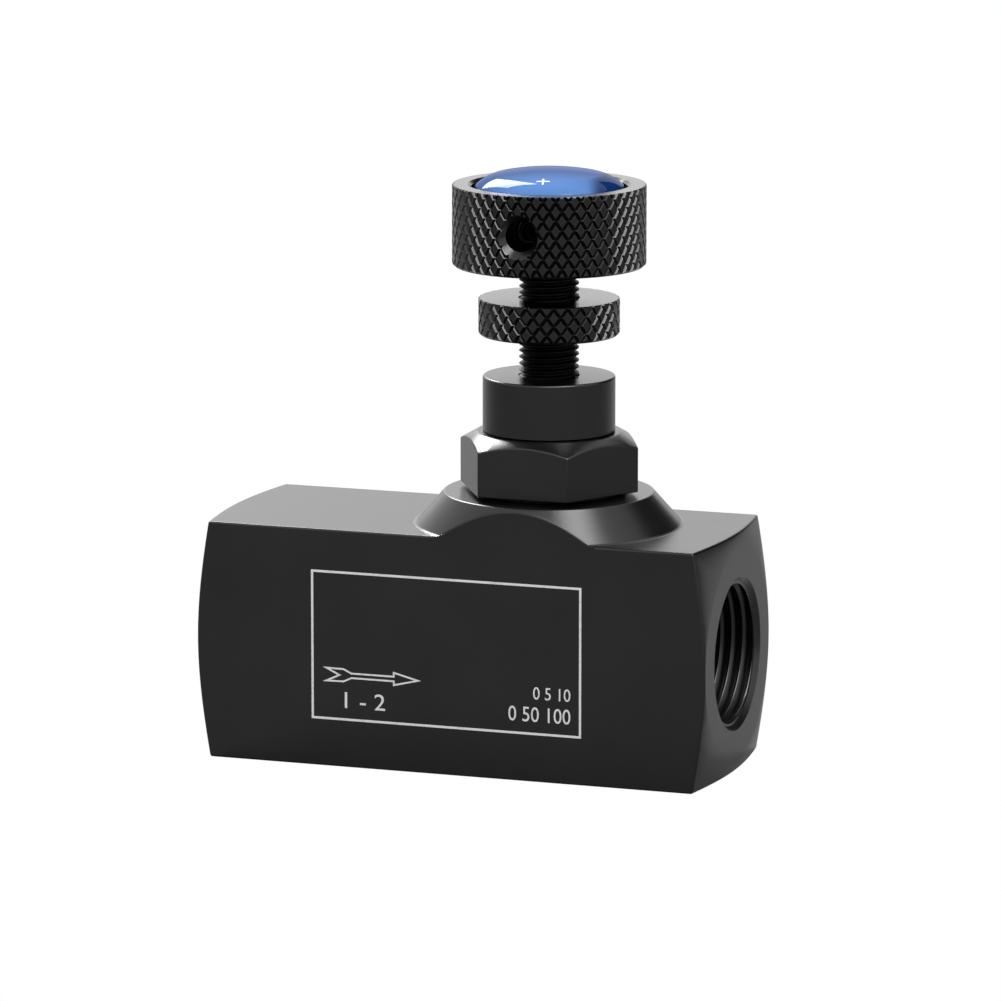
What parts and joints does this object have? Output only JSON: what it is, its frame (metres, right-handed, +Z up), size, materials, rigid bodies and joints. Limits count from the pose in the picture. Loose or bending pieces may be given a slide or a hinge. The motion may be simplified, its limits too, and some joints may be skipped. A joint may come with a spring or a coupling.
{
  "type": "flow control valve",
  "caption": "In-line throttle and check valve: a steel block with a taper-threaded port at each end and a needle spindle set by a knurled knob and held by a knurled lock ring.",
  "frame": {"origin": "middle of the block's underside, which is also the middle of the whole valve's base", "axes": "+X is the direction of metered flow, from the inlet port to the outlet port; -Y is the marked face; +Z points up along the spindle"},
  "size_m": [0.062, 0.025, 0.0694],
  "materials": {
    "black_steel": "black oxide over fine milled steel, satin",
    "spindle_steel": "black oxide over a rolled thread",
    "black_aluminium": "black anodised over diamond knurling, satin",
    "ground_steel": "hardened and ground",
    "spring_steel": "drawn wire",
    "seal_rubber": "moulded nitrile, matt",
    "white_polymer": "turned polymer, matt",
    "blue_print": "printed film",
    "blue_resin": "clear blue cast dome, high gloss"
  },
  "bodies": {
    "housing": {"valve_body": "black_steel", "seat_ring": "ground_steel", "bottom_plug": "black_steel", "bottom_plug_o_ring": "seal_rubber", "check_spring": "spring_steel", "bonnet": "black_steel", "bonnet_washer": "spindle_steel", "bonnet_o_ring": "seal_rubber", "bonnet_backup_ring": "white_polymer"},
    "stem_seals": {"stem_o_ring": "seal_rubber", "stem_backup_ring": "white_polymer"},
    "spindle": {"throttle_spindle": "spindle_steel", "knob": "black_aluminium", "knob_set_screw": "spindle_steel", "cap_disc": "blue_print", "cap_dome": "blue_resin"},
    "lock_insert": {"lock_ring_insert": "white_polymer"},
    "lock_nut": {"lock_ring": "black_aluminium"},
    "poppet": {"check_poppet": "ground_steel"}
  },
  "joints": [
    {"name": "stem_travel", "type": "slide", "parent": "housing", "child": "stem_seals", "axis": [0, 0, 1], "range_m": [-0.00225, 0.003]},
    {"name": "knob_turn", "type": "hinge", "parent": "stem_seals", "child": "spindle", "pos_m": [0.008, 0, 0.0629], "axis": [0, 0, 1], "range_deg": [-1081, 1441]},
    {"name": "lock_ring_travel", "type": "slide", "parent": "housing", "child": "lock_insert", "axis": [0, 0, 1], "range_m": [-0.0045, 0.00112]},
    {"name": "lock_ring_turn", "type": "hinge", "parent": "lock_insert", "child": "lock_nut", "pos_m": [0.008, 0, 0.0523], "axis": [0, 0, 1], "range_deg": [-2161, 541]},
    {"name": "check_lift", "type": "slide", "parent": "housing", "child": "poppet", "axis": [0, 0, 1], "range_m": [-0.002, 0], "stiffness_N_per_m": 600, "deforming": ["check_spring"]}
  ],
  "couplings": [
    {"joint": "knob_turn", "follows": "stem_travel", "rad_per_m": 8377.6},
    {"joint": "lock_ring_turn", "follows": "lock_ring_travel", "rad_per_m": 8377.6}
  ]
}
